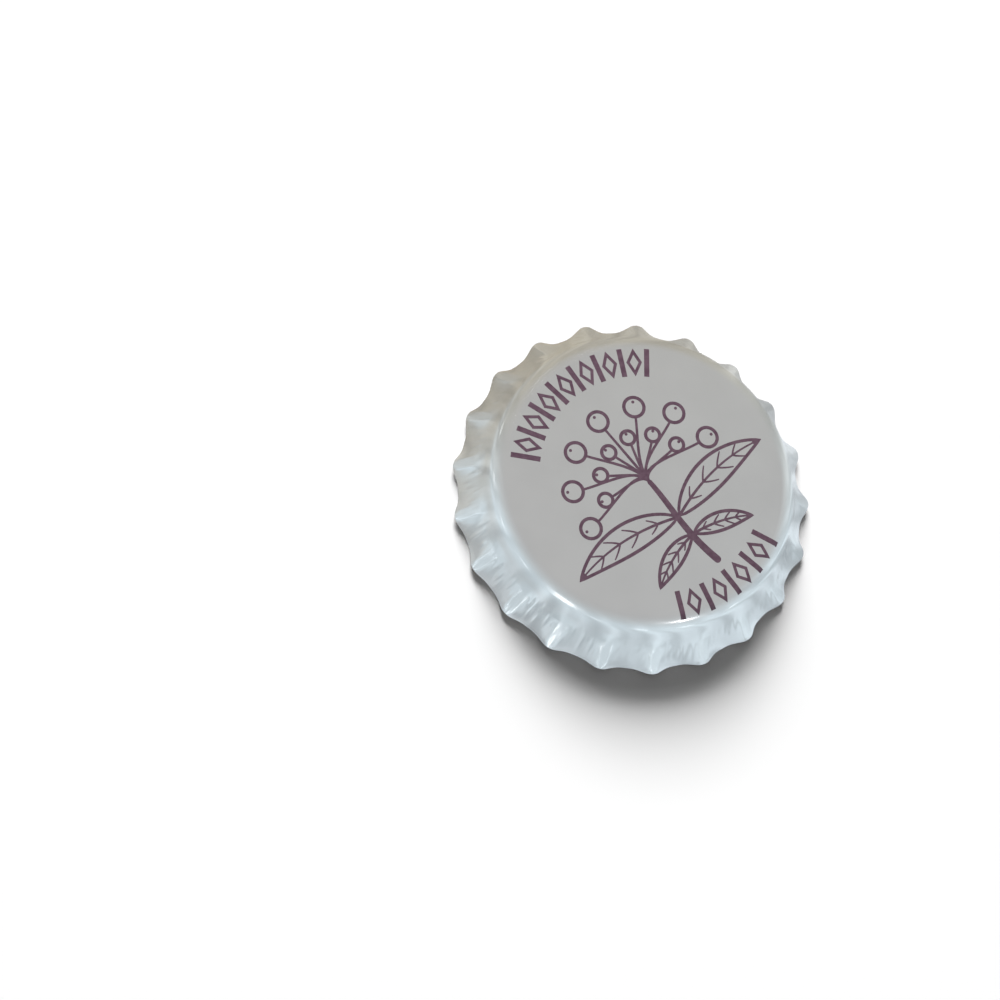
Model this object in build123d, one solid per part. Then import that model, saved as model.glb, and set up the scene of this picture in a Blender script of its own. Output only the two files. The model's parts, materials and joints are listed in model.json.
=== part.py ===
from build123d import *
from math import cos, hypot, pi, radians, sin, sqrt, tan
import os

# A new crown cap, not yet closed on a bottle: a drawn tinplate shell with 21 flutes
# round its skirt, and a moulded sealing liner bonded under its panel.
# Frame: Z is the axis of the cap, panel up, and z = 0 is the table it stands on.
# Millimetres. One tooth of the skirt lies on +X.

# shell, sizes of the outside
flutes = 21
cap_height = 6.0
skirt_spread = 2.025
tooth_depth = 0.65
tooth_lift = 0.55
panel_dome_radius = 160.0
shoulder_radius = 1.7
skirt_lean = radians(20)
flare_bend = 0.3
tooth_sharpness = 1.6

# shell, inside
sheet = 0.24
mouth_radius = 13.375
land_length = 0.12
land_below_shoulder = 0.15
joint_below_land = 0.25

# liner
liner_edge_gap = 0.825
ring_width = 3.1
recess_thickness = 0.38
ring_height = 1.3
ring_slope_width = 0.7
ring_foot_round = 0.5
ring_inner_round = 0.7
ring_outer_round = 0.5

# how finely the fluted skirt is drawn: points round one flute, and level lines from top to rim
points_per_flute = 10
line_shares = [0, 0.07, 0.15, 0.25, 0.37, 0.5, 0.66, 0.83, 1]

# Sizes that follow from those above: the rim and the liner keep their distance from the mouth.
valley_radius = mouth_radius + skirt_spread
tooth_radius = valley_radius + tooth_depth
liner_radius = mouth_radius - liner_edge_gap
recess_radius = liner_radius - ring_width
inner_turn = shoulder_radius - sheet
shoulder_centre_r = mouth_radius - land_below_shoulder * tan(skirt_lean) - inner_turn * cos(skirt_lean)
dome_centre_z = cap_height - panel_dome_radius
dome_to_shoulder = panel_dome_radius - shoulder_radius
shoulder_centre_z = dome_centre_z + sqrt(dome_to_shoulder**2 - shoulder_centre_r**2)
land_z = shoulder_centre_z + inner_turn * sin(skirt_lean) - land_below_shoulder
joint_z = land_z - joint_below_land
joint_inner_r = mouth_radius + joint_below_land * tan(skirt_lean)
joint_outer_r = joint_inner_r + sheet / cos(skirt_lean)
flare_reach = sqrt(1 + flare_bend**2) - flare_bend
pitch = 2 * pi / flutes
valley_lift = 0


def flare(share):
    """How far the skirt has curled out past its straight lean, 0 at the joint and 1 at the rim."""
    share = max(share, 0)
    return (sqrt(share**2 + flare_bend**2) - flare_bend) / flare_reach


def outside(angle, share):
    """A point on the outside of the fluted skirt: angle round the cap, share of the way down."""
    wave = ((1 + cos(flutes * angle)) / 2) ** tooth_sharpness
    rim_r = valley_radius + (tooth_radius - valley_radius) * wave
    rim_z = valley_lift + tooth_lift * wave
    straight_r = joint_outer_r + (joint_z - rim_z) * tan(skirt_lean)
    z = joint_z + (rim_z - joint_z) * share
    r = joint_outer_r + (joint_z - z) * tan(skirt_lean) + (rim_r - straight_r) * flare(share)
    return Vector(r * cos(angle), r * sin(angle), z)


def inside(angle, share):
    """The point one sheet thickness in, square to the metal. Share 0 is level with the joint again."""
    step = 0.0005
    rise = sheet * sin(skirt_lean) / (outside(angle, 0).Z - outside(angle, 1).Z)
    share = (1 + rise) * share - rise
    around = outside(angle + step, share) - outside(angle - step, share)
    down = outside(angle, share + step) - outside(angle, share - step)
    return outside(angle, share) - down.cross(around).normalized() * sheet


# The rim is cut square to the leaning sheet, so in the valleys its inside edge is the one on the table.
for attempt in range(8):
    valley_lift -= inside(pitch / 2, 1).Z


def level_line(point_at, share):
    """One line across one flute of the skirt, from the middle of a valley to the next."""
    points = []
    for i in range(points_per_flute + 1):
        points.append(point_at(pitch * (i / points_per_flute - 0.5), share))
    ends = [Vector(sin(pitch / 2), cos(pitch / 2), 0), Vector(-sin(pitch / 2), cos(pitch / 2), 0)]
    return Edge.make_spline(points, tangents=ends)


def cap_profile(inset):
    """Half of the panel and shoulder, moved in by inset: three points on the dome, two more down."""
    dome = panel_dome_radius - inset
    turn = shoulder_radius - inset
    top = (0, dome_centre_z + dome)
    across = shoulder_centre_r / dome_to_shoulder
    up = (shoulder_centre_z - dome_centre_z) / dome_to_shoulder
    dome_end = (dome * across, dome_centre_z + dome * up)
    mid_r = dome_end[0] / 2
    dome_mid = (mid_r, dome_centre_z + sqrt(dome**2 - mid_r**2))
    across += cos(skirt_lean)
    up += sin(skirt_lean)
    half = hypot(across, up)
    turn_mid = (shoulder_centre_r + turn * across / half, shoulder_centre_z + turn * up / half)
    turn_end = (shoulder_centre_r + turn * cos(skirt_lean), shoulder_centre_z + turn * sin(skirt_lean))
    return top, dome_mid, dome_end, turn_mid, turn_end


def make_shell_top():
    """Panel and shoulder, turned, ending in a level ring that the skirt hangs from."""
    out = cap_profile(0)
    ins = cap_profile(sheet)
    with BuildPart() as part:
        with BuildSketch(Plane.XZ):
            with BuildLine():
                ThreePointArc(out[0], out[1], out[2])
                ThreePointArc(out[2], out[3], out[4])
                Line(out[4], (joint_outer_r, joint_z))
                Line((joint_outer_r, joint_z), (joint_inner_r, joint_z))
                Line((joint_inner_r, joint_z), (mouth_radius, land_z - land_length / 2))
                Line((mouth_radius, land_z - land_length / 2), (mouth_radius, land_z + land_length / 2))
                Line((mouth_radius, land_z + land_length / 2), ins[4])
                ThreePointArc(ins[4], ins[3], ins[2])
                ThreePointArc(ins[2], ins[1], ins[0])
                Line(ins[0], out[0])
            make_face()
        revolve(axis=Axis.Z)
    return part.part


def make_skirt():
    """One flute, tooth in the middle, turned round to make them all and closed at the joint and rim."""
    outer = [level_line(outside, share) for share in line_shares]
    inner = [level_line(inside, share) for share in line_shares]
    flute = [
        Shell.make_loft([Wire([edge]) for edge in outer]).faces()[0],
        Shell.make_loft([Wire([edge]) for edge in inner]).faces()[0],
        Face.make_surface_from_curves(outer[-1], inner[-1]),
        Face.make_surface_from_curves(outer[0], inner[0]),
    ]
    faces = []
    for i in range(flutes):
        faces += [Rot(0, 0, 360 * i / flutes) * face for face in flute]
    return Solid(Shell(faces))


def make_shell():
    return make_shell_top().fuse(make_skirt(), tol=1e-5)


def make_liner():
    """The sealing disc: it fills the dome of the panel, thin in the middle, with a thick ring outside."""
    ins = cap_profile(sheet)
    edge_top_z = shoulder_centre_z + sqrt(inner_turn**2 - (liner_radius - shoulder_centre_r)**2)
    mid_r = (ins[2][0] + liner_radius) / 2
    edge_mid = (mid_r, shoulder_centre_z + sqrt(inner_turn**2 - (mid_r - shoulder_centre_r)**2))
    ring_z = ins[0][1] - ring_height
    dome = panel_dome_radius - sheet - recess_thickness
    recess_top = (0, dome_centre_z + dome)
    recess_mid = (recess_radius / 2, dome_centre_z + sqrt(dome**2 - (recess_radius / 2)**2))
    recess_end = (recess_radius, dome_centre_z + sqrt(dome**2 - recess_radius**2))
    ring_start = (recess_radius + ring_slope_width, ring_z)
    ring_end = (liner_radius, ring_z)
    rounds = (
        (recess_end, ring_foot_round),
        (ring_start, ring_inner_round),
        (ring_end, ring_outer_round),
    )
    with BuildPart() as part:
        with BuildSketch(Plane.XZ) as sketch:
            with BuildLine():
                ThreePointArc(ins[0], ins[1], ins[2])
                ThreePointArc(ins[2], edge_mid, (liner_radius, edge_top_z))
                Line((liner_radius, edge_top_z), ring_end)
                Line(ring_end, ring_start)
                Line(ring_start, recess_end)
                ThreePointArc(recess_end, recess_mid, recess_top)
                Line(recess_top, ins[0])
            make_face()
            for corner, size in rounds:
                nearest = sketch.vertices().sort_by_distance(Vector(*corner))
                fillet(nearest[0], radius=size)
        revolve(axis=Axis.Z)
    return part.part


os.makedirs("parts", exist_ok=True)
export_step(make_shell(), "parts/shell.step")
export_step(make_liner(), "parts/liner.step")
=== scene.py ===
import json
import random
from math import cos, pi, radians, sin, sqrt, tan

import bpy
import numpy as np
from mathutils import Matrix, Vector
from mathutils.geometry import delaunay_2d_cdt, interpolate_bezier


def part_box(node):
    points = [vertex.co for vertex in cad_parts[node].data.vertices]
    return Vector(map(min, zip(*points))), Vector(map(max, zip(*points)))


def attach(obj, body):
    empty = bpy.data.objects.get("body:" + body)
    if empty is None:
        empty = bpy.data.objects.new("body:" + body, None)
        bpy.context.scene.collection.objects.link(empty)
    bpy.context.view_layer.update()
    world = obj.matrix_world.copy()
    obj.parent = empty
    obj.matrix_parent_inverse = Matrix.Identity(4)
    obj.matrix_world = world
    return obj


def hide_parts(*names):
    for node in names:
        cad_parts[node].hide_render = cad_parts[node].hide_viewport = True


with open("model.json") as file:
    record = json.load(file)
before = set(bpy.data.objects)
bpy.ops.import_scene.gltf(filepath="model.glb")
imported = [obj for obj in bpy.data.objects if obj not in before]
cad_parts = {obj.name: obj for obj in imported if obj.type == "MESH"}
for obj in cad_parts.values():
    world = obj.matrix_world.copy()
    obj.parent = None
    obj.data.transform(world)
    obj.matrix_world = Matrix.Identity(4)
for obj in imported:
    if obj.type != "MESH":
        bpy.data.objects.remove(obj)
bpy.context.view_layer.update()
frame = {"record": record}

# A new crown cap, panel up, on a white table: the drawn shell, its liner and the print on its panel.
# Sizes below are millimetres unless a comment names another unit; meshes are made in metres.
mm = 0.001

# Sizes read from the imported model.
shell_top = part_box("shell")[1] / mm
cap_height = shell_top.z
tooth_radius = shell_top.x
mouth = frame["record"]["mounts"][0]
mouth_radius = mouth["dims"]["r_mm"]
mouth_z = mouth["pos_m"][2] / mm
land_length = mouth["dims"]["length_mm"]
liner_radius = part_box("liner")[1].x / mm
ring_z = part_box("liner")[0].z / mm

# The other sizes of the shell and liner.
flutes = 21
sheet = 0.24
tooth_depth = 0.65
tooth_lift = 0.55
panel_dome_radius = 160.0
shoulder_radius = 1.7
skirt_lean = radians(20)
flare_bend = 0.3
tooth_sharpness = 1.6
land_below_shoulder = 0.15
joint_below_land = 0.25
ring_width = 3.1
ring_slope_width = 0.7
ring_outer_round = 0.5
ring_inner_round = 0.7
ring_foot_round = 0.5
recess_thickness = 0.38

valley_radius = tooth_radius - tooth_depth
inner_turn = shoulder_radius - sheet
shoulder_r = mouth_radius - land_below_shoulder * tan(skirt_lean) - inner_turn * cos(skirt_lean)
dome_centre_z = cap_height - panel_dome_radius
dome_to_shoulder = panel_dome_radius - shoulder_radius
shoulder_z = dome_centre_z + sqrt(dome_to_shoulder**2 - shoulder_r**2)
panel_slope = np.arcsin(shoulder_r / dome_to_shoulder)
joint_z = mouth_z - joint_below_land
joint_inner_r = mouth_radius + joint_below_land * tan(skirt_lean)
joint_outer_r = joint_inner_r + sheet / cos(skirt_lean)
flare_reach = sqrt(1 + flare_bend**2) - flare_bend
pitch = 2 * pi / flutes

# Fine relief of the skirt. Shares run down the skirt, from 0 at the joint to 1 at the rim. Over the
# sink share the skin sinks by the height of the crest lines, to make room for them, and towards the
# rim the relief calms down. Where two values stand for a crease, one between them is drawn at random.
crest_half_width = 0.48
crest_line_width = 0.2
crest_line_height = 0.06
crest_line_start = 0.3
crest_line_rise = 0.35
crease_seed = 4
crease_count = 5
crease_span = 0.72
crease_places = (0.2, 0.8)
crease_lengths = (0.08, 0.3)
crease_widths = (0.1, 0.17)
crease_strengths = (0.3, 1)
crease_shares = (0.3, 0.75)
crease_height = 0.06
crease_reach = 0.5
mark_seed = 7
mark_cells = 336
mark_levels = 6
mark_height = 0.009
mark_rise = 0.15
sink_share = 0.3
calm_end = 1.02
calm_run = 0.12
calm_least = 0.15

# Rounding of the cut edge, and how far the cap is raised so that the relief clears the table.
edge_round = 0.07
relief_clearance = 0.003

# How finely the meshes are drawn: points round the cap, rings across each part of a section, and
# points of what is printed. The recess run is the first, straight stretch of the liner's middle.
fine_per_flute = 48
coarse_step = 3
fine = flutes * fine_per_flute
coarse = fine // coarse_step
first_ring_r = 0.5
dome_rings = 16
shoulder_rings = 15
skirt_rings = 42
inner_skirt_rings = 28
inner_shoulder_rings = 10
inner_dome_rings = 8
liner_rings = 10
liner_edge_rings = 6
recess_run = 2
round_steps = 7
rim_turns = np.radians([0, 30, 60, 90])
disc_points = 28
cap_points = 12
dot_points = 10
stalk_points = 18
leaf_points = 24
vein_points = 6

# The print. It is drawn flat, with its up along +Y, and then turned so that its up points along
# print_up, which is the direction of the middle of its upper band of marks.
print_up = radians(129)
print_rise = 0.012
print_sink = 0.01
line_width = 0.3
band_marks = 15
lower_band_marks = 9
band_inner_r = 9.4
band_outer_r = 12.0
lower_band_inner_r = 10.2
lower_band_outer_r = 12.7
band_half_angle = radians(42)
lower_band_half_angle = radians(26)
band_rows = 11
bar_width = 0.46
lozenge_width = 1.4
lozenge_line = 0.62
tip_width = 0.004

# The sprig: its fans of berries (reach, berry radius, count, spread in degrees), the rise and bend of
# their stalks, the dot in a berry and how far out it lies, the line of the stem, and the leaves of
# the right side (foot, tip, half width, bend).
sprig_node = Vector((0, -0.4))
fans = ((6.9, 1.05, 7, 180), (4.35, 0.78, 6, 150))
stalk_rise = 0.3
stalk_bend = 0.35
dot_radius = 0.14
dot_offset = 0.45
stem_line = ((0.1, -3.2), (-0.5, -5.6), (0.3, -9.2))
leaves = (((0, -4.3), (10.8, -3.4), 1.5, 1.1), ((0, -6.2), (5.6, -8.2), 0.95, 0.5))

# A leaf: the shares of its length at which the rib bends, the powers that move its widest place
# towards the foot and fill out its outline, the points of the rib from one vein to the next and the
# points at the tip without veins, and how far ahead and aside a vein sets out and ends, in half
# widths of the leaf.
rib_bends = (0.35, 0.7)
leaf_skew = 0.85
leaf_fullness = 0.8
vein_step = 4
vein_margin = 6
vein_start = (0.25, 0.3)
vein_end = (0.8, 0.6)

# Widths of the drawn lines at their start and end, in line widths.
stalk_widths = (0.9, 0.7)
stem_widths = (1.5, 2.2)
rib_widths = (0.9, 0.5)
vein_widths = (0.6, 0.35)

# How exactly the drawn shapes are cut against each other. Points of the ink film that agree to this
# many decimals are one point, and none counts as closer to the axis than the least radius.
film_tolerance = 1e-5
film_digits = 3
least_radius = 1e-6

# Streaks in the lacquer of the skirt: waves per radian round the cap and per metre of height, how far
# past the joint's radius they start and are in full, and how much roughness they add.
streak_scale = 55
streak_height_scale = 500
streak_start = -0.6
streak_full = 0.3
streak_roughness = 0.08

# Between which values noise lies for the most part, and where one mottled colour turns into another.
noise_span = (0.3, 0.7)
mottle_span = (0.35, 0.65)

# The photograph's camera: the direction to it, and how far it and its aim lie from the cap.
photo_back = Vector((-0.226, -0.307, 0.9245)).normalized()
photo_distance = 500
photo_pixels_per_mm = 11.503
photo_width = 1000
photo_sideways = 11.27
sensor_width = 36

# The light of the room, azimuths in degrees from +X. Stops run from 0, across from the azimuth,
# to 1, towards it. Its uprights are lighter and darker bands, with a scale in waves per radian.
even_light = (0.1, 0.1, 0.1)
ceiling = (0.505, 0.502, 0.501)
ceiling_start = 0.25
ceiling_end = 1.0
horizon_azimuth = 270
horizon_stops = ((0.03, (0.42, 0.39, 0.32)), (0.27, (0.6, 0.63, 0.63)), (0.55, (0.74, 0.84, 0.9)))
upright_scale = 9
upright_contrast = 0.3

# The table, half its width in metres: its white, and the white that the camera sees; then the painted
# reflection of a room's floor that metal sees in its place: its colours close to the cap, and a painted
# shadow of the cap in it, which ends further out.
table_half = 1.0
floor_white = 0.95
floor_white_seen = 1.06
painted_reflection_azimuth = 300
painted_floor_reflection = ((0, (0.52, 0.47, 0.37)), (0.5, (0.77, 0.81, 0.84)), (1, (0.79, 0.89, 0.96)))
floor_shade = 0.79
shade_start = 15.5
shade_end = 24

# The low lamps that draw thin glints on the skirt, by azimuth in degrees.
low_lamps = 9
low_lamp_start = 139
low_lamp_step = 23.3
low_lamp_colour = (0.95, 0.98, 1.0)


def smooth(share):
    """0 to 1 as share goes from 0 to 1, with soft ends."""
    share = np.clip(share, 0, 1)
    return share * share * (3 - 2 * share)


def bump_across(distance, width):
    return np.exp(-(distance / width) ** 2)


def flare(share):
    """How far the skirt has curled out past its straight lean, 0 at the joint and 1 at the rim."""
    share = np.maximum(share, 0)
    return (np.sqrt(share**2 + flare_bend**2) - flare_bend) / flare_reach


def plain_outside(angle, share, valley_lift):
    """Points on the outside of the skirt without its fine relief."""
    wave = ((1 + np.cos(flutes * angle)) / 2) ** tooth_sharpness
    rim_r = valley_radius + tooth_depth * wave
    rim_z = valley_lift + tooth_lift * wave
    straight_r = joint_outer_r + (joint_z - rim_z) * tan(skirt_lean)
    z = joint_z + (rim_z - joint_z) * share
    r = joint_outer_r + (joint_z - z) * tan(skirt_lean) + (rim_r - straight_r) * flare(share)
    return np.stack([r * np.cos(angle), r * np.sin(angle), z], axis=-1)


def outward(angle, share, valley_lift):
    """Directions square to the outside of the skirt."""
    step = 0.0005
    around = plain_outside(angle + step, share, valley_lift)
    around = around - plain_outside(angle - step, share, valley_lift)
    down = plain_outside(angle, share + step, valley_lift)
    down = down - plain_outside(angle, share - step, valley_lift)
    normal = np.cross(around, down)
    return -normal / np.linalg.norm(normal, axis=-1, keepdims=True)


def inside_share(angle, share, valley_lift):
    """The share on the outside that lies square across from this share of the inside."""
    height = joint_z - plain_outside(angle, 1, valley_lift)[..., 2]
    rise = sheet * sin(skirt_lean) / height
    return (1 + rise) * share - rise


def plain_inside(angle, share, valley_lift):
    share = inside_share(angle, share, valley_lift)
    return plain_outside(angle, share, valley_lift) - outward(angle, share, valley_lift) * sheet


def find_valley_lift():
    """The lift that puts the lowest point of the valleys on the table, with the relief clear of it."""
    lift = 0.0
    for attempt in range(8):
        lift -= plain_inside(np.array(pitch / 2), 1, lift)[2]
    return lift + relief_clearance


valley_lift = find_valley_lift()


def make_creases():
    """Small upright creases of the drawing: angle, share down, length as a share, width and strength."""
    rng = random.Random(crease_seed)
    creases = []
    for flute in range(flutes):
        for k in range(crease_count):
            place = (k + rng.uniform(*crease_places)) / crease_count
            angle = pitch * (flute + (1 - crease_span) / 2 + crease_span * place)
            length = rng.uniform(*crease_lengths)
            width = rng.uniform(*crease_widths)
            strength = rng.uniform(*crease_strengths)
            share = rng.uniform(*crease_shares)
            creases.append((angle, share, length, width, strength))
    return creases


creases = make_creases()


def make_marks():
    """Heights of the faint upright marks that the die leaves, in cells round the skirt and down it."""
    rng = random.Random(mark_seed)
    return np.array([[rng.uniform(-1, 1) for cell in range(mark_cells)] for level in range(mark_levels)])


marks = make_marks()


def mark_at(angle, share):
    """The marks between their cells, smooth both ways and closed round the skirt."""
    round_cap = angle / (2 * pi) % 1 * mark_cells
    down = np.clip(share, 0, 1) * (mark_levels - 1)
    i = np.floor(round_cap).astype(int) % mark_cells
    j = np.minimum(np.floor(down).astype(int), mark_levels - 2)
    u = smooth(round_cap - np.floor(round_cap))
    v = smooth(down - j)
    next_i = (i + 1) % mark_cells
    upper = marks[j, i] * (1 - u) + marks[j, next_i] * u
    lower = marks[j + 1, i] * (1 - u) + marks[j + 1, next_i] * u
    return upper * (1 - v) + lower * v


def relief(angle, share):
    """Height of the fine relief, square to the metal: two lines along each crest, creases and marks."""
    across = ((angle + pitch / 2) % pitch - pitch / 2) * valley_radius
    lines = bump_across(across - crest_half_width, crest_line_width)
    lines = lines + bump_across(across + crest_half_width, crest_line_width)
    height = crest_line_height * lines * smooth((share - crest_line_start) / crest_line_rise)
    for crease_angle, crease_share, length, width, strength in creases:
        away = ((angle - crease_angle + pi) % (2 * pi) - pi) * valley_radius
        shape = bump_across(away, width) * bump_across(share - crease_share, length)
        height = height + np.where(np.abs(away) < crease_reach, crease_height * strength * shape, 0)
    height = height + mark_height * mark_at(angle, share) * np.clip(share / mark_rise, 0, 1)
    return height * np.clip((calm_end - share) / calm_run, calm_least, 1)


def outside(angle, share):
    lifted = relief(angle, share) - crest_line_height
    fade = np.clip(share / sink_share, 0, 1)
    normal = outward(angle, share, valley_lift)
    return plain_outside(angle, share, valley_lift) + normal * (lifted * fade)[..., None]


def inside(angle, share):
    share = inside_share(angle, share, valley_lift)
    return outside(angle, share) - outward(angle, share, valley_lift) * sheet


def turned_ring(r, z, count):
    angles = np.arange(count) * 2 * pi / count
    return np.stack([r * np.cos(angles), r * np.sin(angles), np.full(count, z)], axis=-1)


def dome_z(r, inset=0.0):
    return dome_centre_z + np.sqrt((panel_dome_radius - inset) ** 2 - r**2)


def shoulder_point(slope, inset=0.0):
    """Radius and height where the shoulder's face slopes by this much from level."""
    turn = shoulder_radius - inset
    return shoulder_r + turn * np.sin(slope), shoulder_z + turn * np.cos(slope)


def top_point(r):
    """Height and slope of the outside at a radius on the panel or shoulder."""
    if r < shoulder_point(panel_slope)[0]:
        return float(dome_z(r)), float(np.arcsin(r / panel_dome_radius))
    slope = float(np.arcsin((r - shoulder_r) / shoulder_radius))
    return shoulder_z + shoulder_radius * cos(slope), slope


def make_mesh(name, points, faces, smooth_faces=True, material_of_face=None):
    mesh = bpy.data.meshes.new(name)
    mesh.from_pydata([tuple(p) for p in np.asarray(points) * mm], [], faces)
    mesh.update()
    for polygon in mesh.polygons:
        polygon.use_smooth = smooth_faces
    if material_of_face is not None:
        mesh.polygons.foreach_set("material_index", material_of_face)
    piece = bpy.data.objects.new(name, mesh)
    bpy.context.scene.collection.objects.link(piece)
    return piece


def skin_rings(name, rings, material_of_ring, top, bottom):
    """A closed skin over a list of rings, with a point at each end. A ring may have coarse_step times
    the points of the one before it, or that much less."""
    points = [np.array([top])]
    starts = []
    total = 1
    for ring in rings:
        starts.append(total)
        points.append(ring)
        total += len(ring)
    points.append(np.array([bottom]))
    faces, slots = [], []

    def add(face, slot):
        faces.append(face)
        slots.append(slot)

    first = len(rings[0])
    for i in range(first):
        add((0, starts[0] + i, starts[0] + (i + 1) % first), material_of_ring[0])
    for k in range(len(rings) - 1):
        a, b = starts[k], starts[k + 1]
        na, nb = len(rings[k]), len(rings[k + 1])
        slot = material_of_ring[k]
        if na == nb:
            for i in range(na):
                j = (i + 1) % na
                add((a + i, b + i, b + j, a + j), slot)
        elif nb > na:
            for i in range(na):
                lower = [b + (coarse_step * i + s) % nb for s in range(coarse_step + 1)]
                add((a + i, *lower, a + (i + 1) % na), slot)
        else:
            for i in range(nb):
                upper = [a + (coarse_step * i + s) % na for s in range(coarse_step, -1, -1)]
                add((b + i, b + (i + 1) % nb, *upper), slot)
    last = len(rings[-1])
    for i in range(last):
        add((starts[-1] + i, total, starts[-1] + (i + 1) % last), material_of_ring[-1])
    return make_mesh(name, np.concatenate(points), faces, material_of_face=slots)


def rim_rings(angles):
    """The rounded cut edge, from the outside over to the inside."""
    near_rim = 0.97
    outer = outside(angles, np.ones(fine))
    inner = inside(angles, np.ones(fine))
    across = inner - outer
    across /= np.linalg.norm(across, axis=1, keepdims=True)
    down = outer - outside(angles, np.full(fine, near_rim))
    down /= np.linalg.norm(down, axis=1, keepdims=True)
    rings = []
    for turn in rim_turns:
        rings.append(outer + edge_round * (across * (1 - cos(turn)) - down * (1 - sin(turn))))
    for turn in rim_turns[::-1]:
        rings.append(inner + edge_round * (-across * (1 - cos(turn)) - down * (1 - sin(turn))))
    return rings


def make_shell():
    """The whole shell as one closed skin: panel, shoulder, skirt, cut edge and back up inside."""
    lacquer, cut, gold = 0, 1, 2
    angles = np.arange(fine) * 2 * pi / fine
    rings = []
    for r in np.linspace(first_ring_r, shoulder_point(panel_slope)[0], dome_rings):
        rings.append(turned_ring(r, dome_z(r), coarse))
    for slope in np.linspace(panel_slope, pi / 2 - skirt_lean, shoulder_rings)[1:]:
        rings.append(turned_ring(*shoulder_point(slope), coarse))
    end_share = 1 - edge_round / (joint_z - valley_lift)
    for share in np.linspace(0, end_share, skirt_rings):
        rings.append(outside(angles, np.full(fine, share)))
    slots = [lacquer] * len(rings)
    rim = rim_rings(angles)
    rings += rim
    slots += [cut] * (len(rim) - 1)
    for share in np.linspace(end_share, 0, inner_skirt_rings)[1:]:
        rings.append(inside(angles, np.full(fine, share)))
    rings.append(turned_ring(mouth_radius, mouth_z - land_length / 2, coarse))
    rings.append(turned_ring(mouth_radius, mouth_z + land_length / 2, coarse))
    for slope in np.linspace(pi / 2 - skirt_lean, panel_slope, inner_shoulder_rings):
        rings.append(turned_ring(*shoulder_point(slope, sheet), coarse))
    for r in np.linspace(shoulder_point(panel_slope, sheet)[0], first_ring_r, inner_dome_rings)[1:]:
        rings.append(turned_ring(r, dome_z(r, sheet), coarse))
    slots += [gold] * (len(rings) - len(slots))
    top = (0, 0, cap_height)
    bottom = (0, 0, cap_height - sheet)
    return skin_rings("cap_shell", rings, slots, top, bottom)


def rounded_outline(corners, radii):
    """An outline through corners, each given a round of its radius (0 leaves it as it is)."""
    outline = []
    for k, (corner, radius) in enumerate(zip(corners, radii)):
        if radius == 0:
            outline.append(corner)
            continue
        before = (corners[k - 1] - corner).normalized()
        after = (corners[k + 1] - corner).normalized()
        half = before.angle(after) / 2
        middle = corner + (before + after).normalized() * (radius / sin(half))
        start = corner + before * (radius / tan(half)) - middle
        end = corner + after * (radius / tan(half)) - middle
        for step in range(round_steps + 1):
            outline.append(middle + start.slerp(end, step / round_steps).normalized() * radius)
    return outline


def make_liner():
    """The moulded disc: a sealing ring round a thin middle, its back lying in the panel."""
    recess_r = liner_radius - ring_width
    recess_inset = sheet + recess_thickness
    edge_slope = np.arcsin((liner_radius - shoulder_r) / inner_turn)
    corners = [
        Vector((liner_radius, shoulder_point(edge_slope, sheet)[1])),
        Vector((liner_radius, ring_z)),
        Vector((recess_r + ring_slope_width, ring_z)),
        Vector((recess_r, dome_z(recess_r, recess_inset))),
        Vector((recess_r - recess_run, dome_z(recess_r - recess_run, recess_inset))),
    ]
    outline = rounded_outline(corners, [0, ring_outer_round, ring_inner_round, ring_foot_round, 0])
    face = [(p.x, p.y) for p in outline]
    for r in np.linspace(recess_r - recess_run, first_ring_r, liner_rings)[1:]:
        face.append((r, dome_z(r, recess_inset)))
    back = []
    for r in np.linspace(first_ring_r, shoulder_point(panel_slope, sheet)[0], liner_rings):
        back.append((r, dome_z(r, sheet)))
    for slope in np.linspace(panel_slope, edge_slope, liner_edge_rings)[1:-1]:
        back.append(shoulder_point(slope, sheet))
    rings = [turned_ring(r, z, coarse) for r, z in back + face]
    top = (0, 0, cap_height - sheet)
    bottom = (0, 0, dome_z(0, recess_inset))
    return skin_rings("cap_liner", rings, [0] * len(rings), top, bottom)


def side_of(ahead):
    """The direction to the left of a direction."""
    return Vector((-ahead.y, ahead.x)).normalized()


def ribbon(path, widths):
    """Four-sided pieces along a path of points, with a width at each."""
    left, right = [], []
    for k, point in enumerate(path):
        ahead = path[min(k + 1, len(path) - 1)] - path[max(k - 1, 0)]
        side = side_of(ahead) * (widths[k] / 2)
        left.append(point + side)
        right.append(point - side)
    return [[left[k], right[k], right[k + 1], left[k + 1]] for k in range(len(path) - 1)]


def disc(centre, radius, count=disc_points):
    turns = [2 * pi * k / count for k in range(count)]
    return [centre + Vector((cos(t), sin(t))) * radius for t in turns]


def bezier(a, b, c, d, count):
    points = interpolate_bezier(*[Vector((*p, 0)) for p in (a, b, c, d)], count)
    return [Vector((p.x, p.y)) for p in points]


def stroke(path, end_widths):
    """A drawn line with round ends that narrows or swells evenly, its end widths in line widths."""
    start_width, end_width = (line_width * width for width in end_widths)
    last = len(path) - 1
    widths = [start_width + (end_width - start_width) * k / last for k in range(last + 1)]
    caps = [disc(path[0], start_width / 2, cap_points), disc(path[-1], end_width / 2, cap_points)]
    return ribbon(path, widths) + caps


def berry(centre, radius, away):
    """An open round berry, an inked disc with a bare disc in it, and a dot on the side away."""
    ring = [(True, [disc(centre, radius)]), (False, [disc(centre, radius - line_width)])]
    dot = disc(centre + away * (radius * dot_offset), dot_radius, dot_points)
    return ring + [(True, [dot])]


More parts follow.
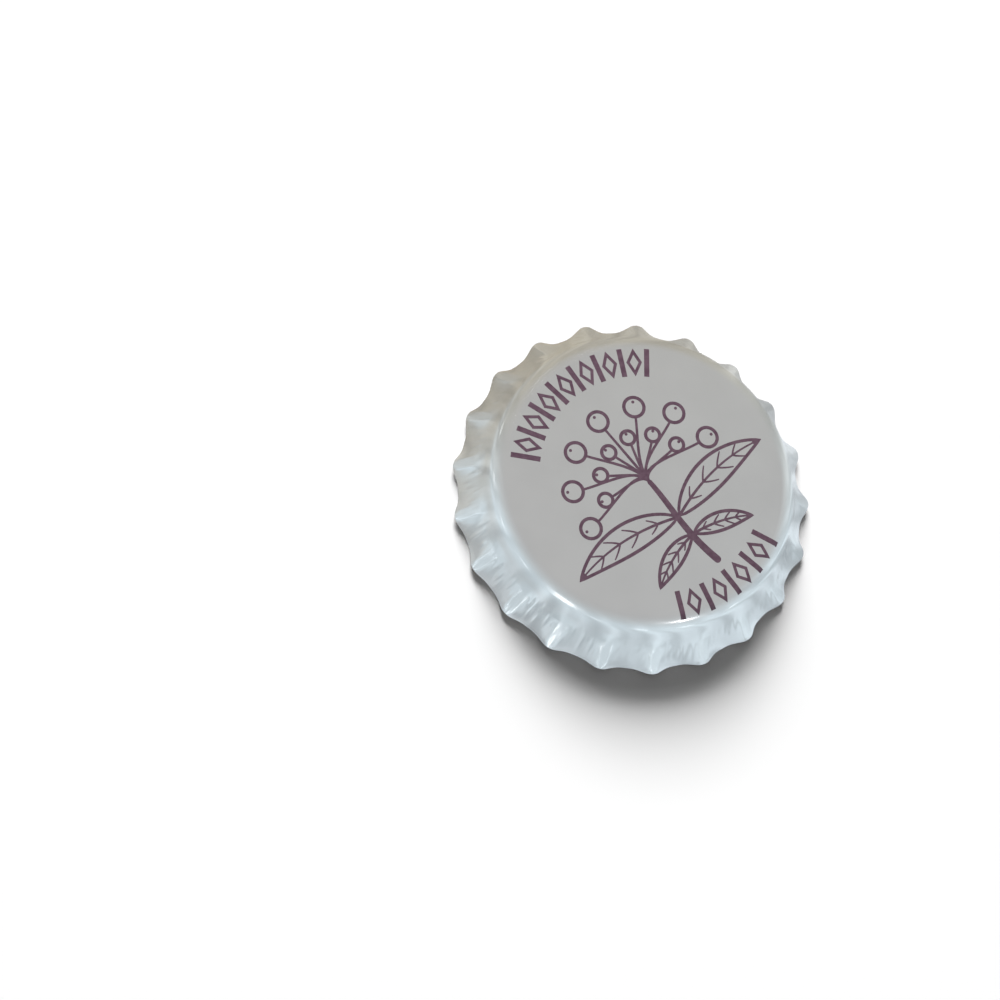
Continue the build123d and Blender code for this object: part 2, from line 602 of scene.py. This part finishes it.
def leaf(base, tip, bulge, bend):
    """An open leaf with a middle rib and side veins. bulge is its half width, bend that of its rib."""
    base, tip = Vector(base), Vector(tip)
    along = tip - base
    aside = side_of(along) * bend
    first, second = (base + along * share + aside for share in rib_bends)
    rib = bezier(base, first, second, tip, leaf_points)
    last = leaf_points - 1
    halves = [bulge * sin(pi * (k / last) ** leaf_skew) ** leaf_fullness for k in range(last)]
    shapes = []
    for trim, inked in ((0, True), (line_width, False)):
        upper, lower = [], []
        for k in range(1, last):
            half = halves[k] - trim
            if half <= 0:
                continue
            side = side_of(rib[k + 1] - rib[k - 1])
            upper.append(rib[k] + side * half)
            lower.append(rib[k] - side * half)
        foot, point = ([rib[0]], [rib[-1]]) if inked else ([], [])
        shapes.append((inked, [foot + lower + point + upper[::-1]]))
    shapes.append((True, stroke(rib[:-2], rib_widths)))
    for k in range(vein_step, last - vein_margin, vein_step):
        half = halves[k]
        ahead = (rib[k + 1] - rib[k - 1]).normalized()
        for direction in (1, -1):
            side = side_of(ahead) * direction
            start = rib[k] + ahead * half * vein_start[0] + side * half * vein_start[1]
            end = rib[k] + ahead * half * vein_end[0] + side * half * vein_end[1]
            vein = bezier(rib[k], start, end, end, vein_points)
            shapes.append((True, stroke(vein, vein_widths)))
    return shapes


def sprig():
    """An upright sprig of open berries on fanned stalks, with leaves to each side."""
    stalks, berries = [], []
    for reach, radius, count, spread in fans:
        for k in range(count):
            turn = radians(90 - spread / 2 + spread * k / (count - 1))
            away = Vector((cos(turn), sin(turn)))
            centre = sprig_node + away * reach
            lean = Vector((0, 1)) * reach * stalk_rise
            bent = centre.lerp(sprig_node, stalk_bend)
            stalk = bezier(sprig_node, sprig_node + lean, bent, centre, stalk_points)
            stalks.append((True, stroke(stalk, stalk_widths)))
            berries += berry(centre, radius, away)
    stem = bezier(sprig_node, *stem_line, leaf_points)
    shapes = stalks + berries + [(True, stroke(stem, stem_widths))]
    for side in (1, -1):
        for foot, (tip_x, tip_y), bulge, bend in leaves:
            shapes += leaf(foot, (side * tip_x, tip_y), bulge, side * bend)
    return shapes


def band(middle, half_angle, inner_r, outer_r, count):
    """Marks along an arc, bars and open lozenges by turns."""
    shapes = []
    middle_r = (inner_r + outer_r) / 2
    half = (outer_r - inner_r) / 2
    open_share = 1 - lozenge_line / lozenge_width
    steps = [2 * row / (band_rows - 1) - 1 for row in range(band_rows)]
    for k in range(count):
        turn = middle + half_angle * (2 * k / (count - 1) - 1)
        radial = Vector((cos(turn), sin(turn)))
        if k % 2 == 0:
            path = [radial * (middle_r + half * step) for step in steps]
            shapes.append((True, ribbon(path, [bar_width] * band_rows)))
            continue
        for share, inked in ((1, True), (open_share, False)):
            path = [radial * (middle_r + half * share * step) for step in steps]
            widths = [max(lozenge_width * share * (1 - abs(step)), tip_width) for step in steps]
            shapes.append((inked, ribbon(path, widths)))
    return shapes


def film(name, shapes):
    """A thin film of ink over the panel. Later shapes lie on earlier ones, and a bare one leaves a hole."""
    points, faces, rank = [], [], []
    for number, (_, pieces) in enumerate(shapes):
        for piece in pieces:
            faces.append(list(range(len(points), len(points) + len(piece))))
            points += piece
            rank.append(number)
    triangles_inside = 1
    flat, _, cut, _, _, owners = delaunay_2d_cdt(points, [], faces, triangles_inside, film_tolerance)
    kept = [face for face, own in zip(cut, owners) if own and shapes[max(rank[i] for i in own)][0]]
    spots, place = {}, {}
    for i in sorted({i for face in kept for i in face}):
        spot = (round(flat[i].x, film_digits), round(flat[i].y, film_digits))
        place[i] = spots.setdefault(spot, len(spots))
    turn = print_up - pi / 2
    top, low = [], []
    for x, y in spots:
        x, y = x * cos(turn) - y * sin(turn), x * sin(turn) + y * cos(turn)
        r = max(sqrt(x * x + y * y), least_radius)
        z, slope = top_point(r)
        normal = Vector((x / r * sin(slope), y / r * sin(slope), cos(slope)))
        top.append(Vector((x, y, min(z, cap_height - print_rise))) + normal * print_rise)
        low.append(Vector((x, y, z)) - normal * print_sink)
    solid, edges = [], {}
    for face in kept:
        ring = [place[i] for i in face]
        if len(set(ring)) < 3:
            continue
        solid.append(tuple(ring))
        solid.append(tuple(i + len(top) for i in reversed(ring)))
        edges.update(dict.fromkeys(zip(ring, ring[1:] + ring[:1])))
    for a, b in edges:
        if (b, a) not in edges:
            solid.append((b, a, a + len(top), b + len(top)))
    return make_mesh(name, top + low, solid, smooth_faces=False)


def feed(tree, value, socket):
    """Link another node's output to a socket, or give the socket a plain value."""
    if isinstance(value, bpy.types.NodeSocket):
        tree.links.new(value, socket)
    else:
        socket.default_value = value


def node(tree, kind, *values, **settings):
    """A node. Its inputs take values in order, or by name with _ for a space; other names are settings."""
    made = tree.nodes.new(kind)
    for key, value in settings.items():
        name = key.replace("_", " ")
        if name in made.inputs:
            feed(tree, value, made.inputs[name])
        else:
            setattr(made, key, value)
    for value, socket in zip(values, made.inputs):
        feed(tree, value, socket)
    return made


def value_math(tree, operation, *values):
    return node(tree, "ShaderNodeMath", *values, operation=operation).outputs["Value"]


def vector_math(tree, operation, *values, **inputs):
    return node(tree, "ShaderNodeVectorMath", *values, operation=operation, **inputs).outputs["Vector"]


def length_of(tree, vector):
    return node(tree, "ShaderNodeVectorMath", vector, operation="LENGTH").outputs["Value"]


def level_part(tree, vector):
    return vector_math(tree, "MULTIPLY", vector, (1, 1, 0))


def level_direction(tree, vector):
    """The level direction in which a vector points."""
    return vector_math(tree, "NORMALIZE", level_part(tree, vector))


def object_place(tree):
    return node(tree, "ShaderNodeTexCoord").outputs["Object"]


def noise(tree, scale, detail=2, stretch=(1, 1, 1)):
    """Noise fixed to the object, scale in waves per metre."""
    place = node(tree, "ShaderNodeMapping", Vector=object_place(tree), Scale=stretch).outputs["Vector"]
    return node(tree, "ShaderNodeTexNoise", Vector=place, Scale=scale, Detail=detail).outputs["Fac"]


def map_range(tree, value, **limits):
    return node(tree, "ShaderNodeMapRange", Value=value, **limits).outputs["Result"]


def spread_noise(tree, value, low, high):
    """Noise spread over the range from low to high."""
    start, end = noise_span
    return map_range(tree, value, From_Min=start, From_Max=end, To_Min=low, To_Max=high)


def ramp(tree, factor, stops):
    """A colour that runs through stops, each a position and a colour."""
    made = node(tree, "ShaderNodeValToRGB", Fac=factor)
    elements = made.color_ramp.elements
    for element, (position, colour) in zip(elements, (stops[0], stops[-1])):
        element.position = position
        element.color = (*colour, 1)
    for position, colour in stops[1:-1]:
        elements.new(position).color = (*colour, 1)
    return made.outputs["Color"]


def mottle(tree, scale, detail, low, high):
    """Two colours that pass into one another in soft patches."""
    return ramp(tree, noise(tree, scale, detail), tuple(zip(mottle_span, (low, high))))


def uneven(tree, scale, low, high):
    """A roughness that drifts from low to high in soft patches."""
    return spread_noise(tree, noise(tree, scale), low, high)


def bumps(tree, *heights):
    """A normal from one or more heights, each with its depth in millimetres."""
    normal = None
    for height, depth in heights:
        bump = node(tree, "ShaderNodeBump", Strength=1.0, Distance=depth * mm, Height=height)
        if normal is not None:
            tree.links.new(normal, bump.inputs["Normal"])
        normal = bump.outputs["Normal"]
    return normal


def drawing_streaks(tree):
    """Fine upright streaks round the skirt, and how far a point lies on the skirt (0 to 1)."""
    place = object_place(tree)
    round_cap = vector_math(tree, "SCALE", level_direction(tree, place), Scale=streak_scale)
    height = vector_math(tree, "MULTIPLY", place, (0, 0, streak_height_scale))
    where = vector_math(tree, "ADD", round_cap, height)
    streaks = node(tree, "ShaderNodeTexNoise", Vector=where, Scale=1, Detail=2).outputs["Fac"]
    radius = length_of(tree, level_part(tree, place))
    start = (joint_outer_r + streak_start) * mm
    full = (joint_outer_r + streak_full) * mm
    return streaks, map_range(tree, radius, From_Min=start, From_Max=full)


def srgb(red, green, blue):
    """A colour written as 0 to 255, in the linear values that a shader takes."""
    values = []
    for value in (red, green, blue):
        value /= 255
        values.append(value / 12.92 if value <= 0.04045 else ((value + 0.055) / 1.055) ** 2.4)
    return tuple(values)


def new_material(name):
    material = bpy.data.materials.new(name)
    material.use_nodes = True
    return material, material.node_tree


def set_shader(tree, **sockets):
    """Feed the sockets of a material's shader, named with _ for a space."""
    shader = tree.nodes["Principled BSDF"]
    for name, value in sockets.items():
        feed(tree, value, shader.inputs[name.replace("_", " ")])


def outer_lacquer():
    """Pearl-white enamel rolled on tinplate, with a clear gloss over it."""
    material, tree = new_material("pearl_lacquer")
    streaks, skirt = drawing_streaks(tree)
    drawn = value_math(tree, "MULTIPLY", streaks, skirt)
    rolled = uneven(tree, scale=900, low=0.17, high=0.21)
    set_shader(
        tree,
        Base_Color=mottle(tree, scale=220, detail=3, low=srgb(231, 232, 232), high=srgb(236, 237, 237)),
        Metallic=0.92,
        Roughness=value_math(tree, "MULTIPLY_ADD", drawn, streak_roughness, rolled),
        IOR=1.5,
        Coat_Weight=0.6,
        Coat_Roughness=0.09,
    )
    return material


def inner_lacquer():
    """Clear pale gold lacquer over bright tinplate."""
    material, tree = new_material("gold_lacquer")
    set_shader(
        tree,
        Base_Color=mottle(tree, scale=300, detail=3, low=srgb(214, 196, 150), high=srgb(226, 211, 170)),
        Metallic=0.95,
        Roughness=uneven(tree, scale=1200, low=0.2, high=0.28),
        Coat_Weight=0.5,
        Coat_Roughness=0.1,
        Normal=bumps(tree, (noise(tree, 3000, stretch=(1, 1, 0.3)), 0.004)),
    )
    return material


def cut_steel():
    """The bare sheared edge of the sheet."""
    material, tree = new_material("cut_edge")
    set_shader(
        tree,
        Base_Color=mottle(tree, scale=1500, detail=2, low=srgb(196, 195, 196), high=srgb(226, 225, 225)),
        Metallic=1.0,
        Roughness=uneven(tree, scale=3000, low=0.3, high=0.5),
        Normal=bumps(tree, (noise(tree, 7000), 0.006)),
    )
    return material


def liner_compound():
    """Off-white moulded ring that thins to a warm, matt middle. Its stops run from the middle out."""
    material, tree = new_material("liner_compound")
    radius = length_of(tree, level_part(tree, object_place(tree)))
    stops = (
        (0.0, srgb(205, 184, 152)),
        (0.7, srgb(211, 191, 160)),
        (0.76, srgb(226, 212, 188)),
        (0.84, srgb(236, 230, 218)),
    )
    set_shader(
        tree,
        Base_Color=ramp(tree, map_range(tree, radius, From_Max=liner_radius * mm), stops),
        Roughness=uneven(tree, scale=700, low=0.42, high=0.55),
        IOR=1.5,
        Subsurface_Weight=0.1,
        Subsurface_Scale=0.4 * mm,
        Normal=bumps(tree, (noise(tree, 900), 0.01), (noise(tree, 4000), 0.005)),
    )
    return material


def ink():
    """Plum enamel ink, a little thinner in places."""
    material, tree = new_material("plum_ink")
    set_shader(
        tree,
        Base_Color=mottle(tree, scale=2200, detail=2, low=srgb(84, 58, 74), high=srgb(100, 76, 90)),
        Roughness=uneven(tree, scale=1800, low=0.35, high=0.45),
        IOR=1.5,
        Coat_Weight=0.5,
        Coat_Roughness=0.15,
        Normal=bumps(tree, (noise(tree, 2600, detail=1), 0.004)),
    )
    return material


def make_object():
    shell = make_shell()
    for material in (outer_lacquer(), cut_steel(), inner_lacquer()):
        shell.data.materials.append(material)
    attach(shell, "root")
    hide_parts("shell")

    liner = make_liner()
    liner.data.materials.append(liner_compound())
    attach(liner, "root")
    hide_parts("liner")

    plum = ink()
    upper = band(pi / 2, band_half_angle, band_inner_r, band_outer_r, band_marks)
    lower = band(-pi / 2, lower_band_half_angle, lower_band_inner_r, lower_band_outer_r, lower_band_marks)
    for name, shapes in (("print_sprig", sprig()), ("print_upper_band", upper), ("print_lower_band", lower)):
        piece = film(name, shapes)
        piece.data.materials.append(plum)
        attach(piece, "root")


def by_azimuth(tree, level, azimuth, stops):
    """A colour that depends only on how far a level direction turns from an azimuth."""
    towards = (cos(radians(azimuth)), sin(radians(azimuth)), 0)
    turned = node(tree, "ShaderNodeVectorMath", level, towards, operation="DOT_PRODUCT").outputs["Value"]
    return ramp(tree, map_range(tree, turned, From_Min=-1), stops)


def mix_colours(tree, factor, first, second):
    mix = node(tree, "ShaderNodeMix", factor, data_type="RGBA")
    colours = [socket for socket in mix.inputs if socket.type == "RGBA"]
    feed(tree, first, colours[0])
    feed(tree, second, colours[1])
    return [socket for socket in mix.outputs if socket.type == "RGBA"][0]


def with_uprights(tree, level, colour):
    """A colour with lighter and darker upright bands, as furniture and windows make them."""
    finer = vector_math(tree, "SCALE", level, Scale=upright_scale)
    bands = node(tree, "ShaderNodeTexNoise", Vector=finer, Scale=1, Detail=1).outputs["Fac"]
    strength = spread_noise(tree, bands, 1 - upright_contrast, 1 + upright_contrast)
    return vector_math(tree, "SCALE", colour, Scale=strength)


def mirrored_only(tree):
    """1 for what a shiny surface mirrors, with no matt surface in between, otherwise 0."""
    path = node(tree, "ShaderNodeLightPath").outputs
    straight = value_math(tree, "LESS_THAN", path["Diffuse Depth"], 0.5)
    return value_math(tree, "MULTIPLY", path["Is Glossy Ray"], straight)


def mix_shaders(tree, factor, first, second):
    return node(tree, "ShaderNodeMixShader", factor, first, second).outputs["Shader"]


def make_floor():
    """A white table that keeps the cap's shadow. Metal mirrors it as a painted reflection: the glowing floor
    of the same room, with a painted shadow close to the cap.
    """
    signs = ((-1, -1), (1, -1), (1, 1), (-1, 1))
    corners = [(x * table_half, y * table_half, 0) for x, y in signs]
    mesh = bpy.data.meshes.new("floor")
    mesh.from_pydata(corners, [], [(0, 1, 2, 3)])
    floor = bpy.data.objects.new("floor", mesh)
    bpy.context.scene.collection.objects.link(floor)
    material, tree = new_material("white_table")
    tree.nodes.remove(tree.nodes["Principled BSDF"])
    seen = node(tree, "ShaderNodeLightPath").outputs["Is Camera Ray"]
    white = map_range(tree, seen, To_Min=floor_white, To_Max=floor_white_seen)
    diffuse = node(tree, "ShaderNodeBsdfDiffuse", Color=white).outputs["BSDF"]

    # Painted reflection: shiny surfaces see the table glow with room colours and upright bands.
    place = object_place(tree)
    level = level_direction(tree, place)
    away = map_range(tree, length_of(tree, place), From_Min=shade_start * mm, From_Max=shade_end * mm)
    close = by_azimuth(tree, level, painted_reflection_azimuth, painted_floor_reflection)
    beyond = by_azimuth(tree, level, horizon_azimuth, horizon_stops)
    colour = with_uprights(tree, level, mix_colours(tree, away, close, beyond))
    # Painted shadow of the cap: the glow is darker close to it.
    shade = map_range(tree, away, To_Min=floor_shade)
    mirrored = node(tree, "ShaderNodeEmission", Color=colour, Strength=shade).outputs["Emission"]
    surface = mix_shaders(tree, mirrored_only(tree), diffuse, mirrored)
    tree.links.new(surface, tree.nodes["Material Output"].inputs["Surface"])
    mesh.materials.append(material)


def make_world():
    """Even light, white to the camera. Metal mirrors a room, cool on the near side, dim and warm beyond."""
    world = bpy.data.worlds.new("studio")
    bpy.context.scene.world = world
    world.use_nodes = True
    tree = world.node_tree
    direction = node(tree, "ShaderNodeTexCoord").outputs["Generated"]
    height = node(tree, "ShaderNodeSeparateXYZ", direction).outputs["Z"]
    overhead = map_range(tree, height, From_Min=ceiling_start, From_Max=ceiling_end)
    level = level_direction(tree, direction)
    walls = with_uprights(tree, level, by_azimuth(tree, level, horizon_azimuth, horizon_stops))
    room = mix_colours(tree, overhead, walls, (*ceiling, 1))
    even = node(tree, "ShaderNodeBackground", Color=(*even_light, 1)).outputs["Background"]
    mirrored = node(tree, "ShaderNodeBackground", Color=room).outputs["Background"]
    white = node(tree, "ShaderNodeBackground", Color=(1, 1, 1, 1)).outputs["Background"]
    seen = node(tree, "ShaderNodeLightPath").outputs["Is Camera Ray"]
    lit = mix_shaders(tree, mirrored_only(tree), even, mirrored)
    surface = mix_shaders(tree, seen, lit, white)
    tree.links.new(surface, tree.nodes["World Output"].inputs["Surface"])


def softbox(name, azimuth, elevation, distance, size, power, colour=(1.0, 1.0, 1.0)):
    """A soft lamp aimed at the cap. Angles are degrees, distance and size (width, height) metres."""
    lamp = bpy.data.lights.new(name, "AREA")
    lamp.shape = "RECTANGLE"
    lamp.size, lamp.size_y = size
    lamp.energy = power
    lamp.color = colour
    holder = bpy.data.objects.new(name, lamp)
    bpy.context.scene.collection.objects.link(holder)
    a, e = radians(azimuth), radians(elevation)
    away = Vector((cos(a) * cos(e), sin(a) * cos(e), sin(e)))
    holder.location = away * distance
    holder.rotation_mode = "QUATERNION"
    holder.rotation_quaternion = away.to_track_quat("Z", "Y")
    return holder


def make_lights():
    """Key and fill light the table from behind. The small lamps are there for the glints on the metal."""
    make_world()
    key = softbox("key", azimuth=95, elevation=33, distance=3.0, size=(1.45, 1.45), power=132)
    fill = softbox("fill", azimuth=95, elevation=46, distance=2.0, size=(0.5, 0.5), power=5.5)
    for lamp in (key, fill):
        lamp.visible_glossy = False
    for k in range(low_lamps):
        softbox(
            f"low_lamp_{k}",
            azimuth=low_lamp_start + low_lamp_step * k,
            elevation=4,
            distance=0.5,
            size=(0.03, 0.03),
            power=0.005,
            colour=low_lamp_colour,
        )
    softbox("glint_left", azimuth=237, elevation=16, distance=0.5, size=(0.09, 0.17), power=0.065)
    softbox("glint_right", azimuth=307, elevation=42, distance=0.5, size=(0.03, 0.03), power=0.05)


def make_camera():
    camera = bpy.data.cameras.new("camera")
    camera.sensor_width = sensor_width
    camera.lens = sensor_width * photo_pixels_per_mm * photo_distance / photo_width
    camera.clip_start = 0.01
    holder = bpy.data.objects.new("camera", camera)
    bpy.context.scene.collection.objects.link(holder)
    holder.rotation_mode = "QUATERNION"
    holder.rotation_quaternion = Vector((0, 0, 1)).rotation_difference(photo_back)
    across = holder.rotation_quaternion @ Vector((1, 0, 0))
    holder.location = (photo_back * photo_distance - across * photo_sideways) * mm
    bpy.context.scene.camera = holder


make_camera()
make_object()
make_floor()
make_lights()
bpy.context.scene.view_settings.view_transform = "Standard"
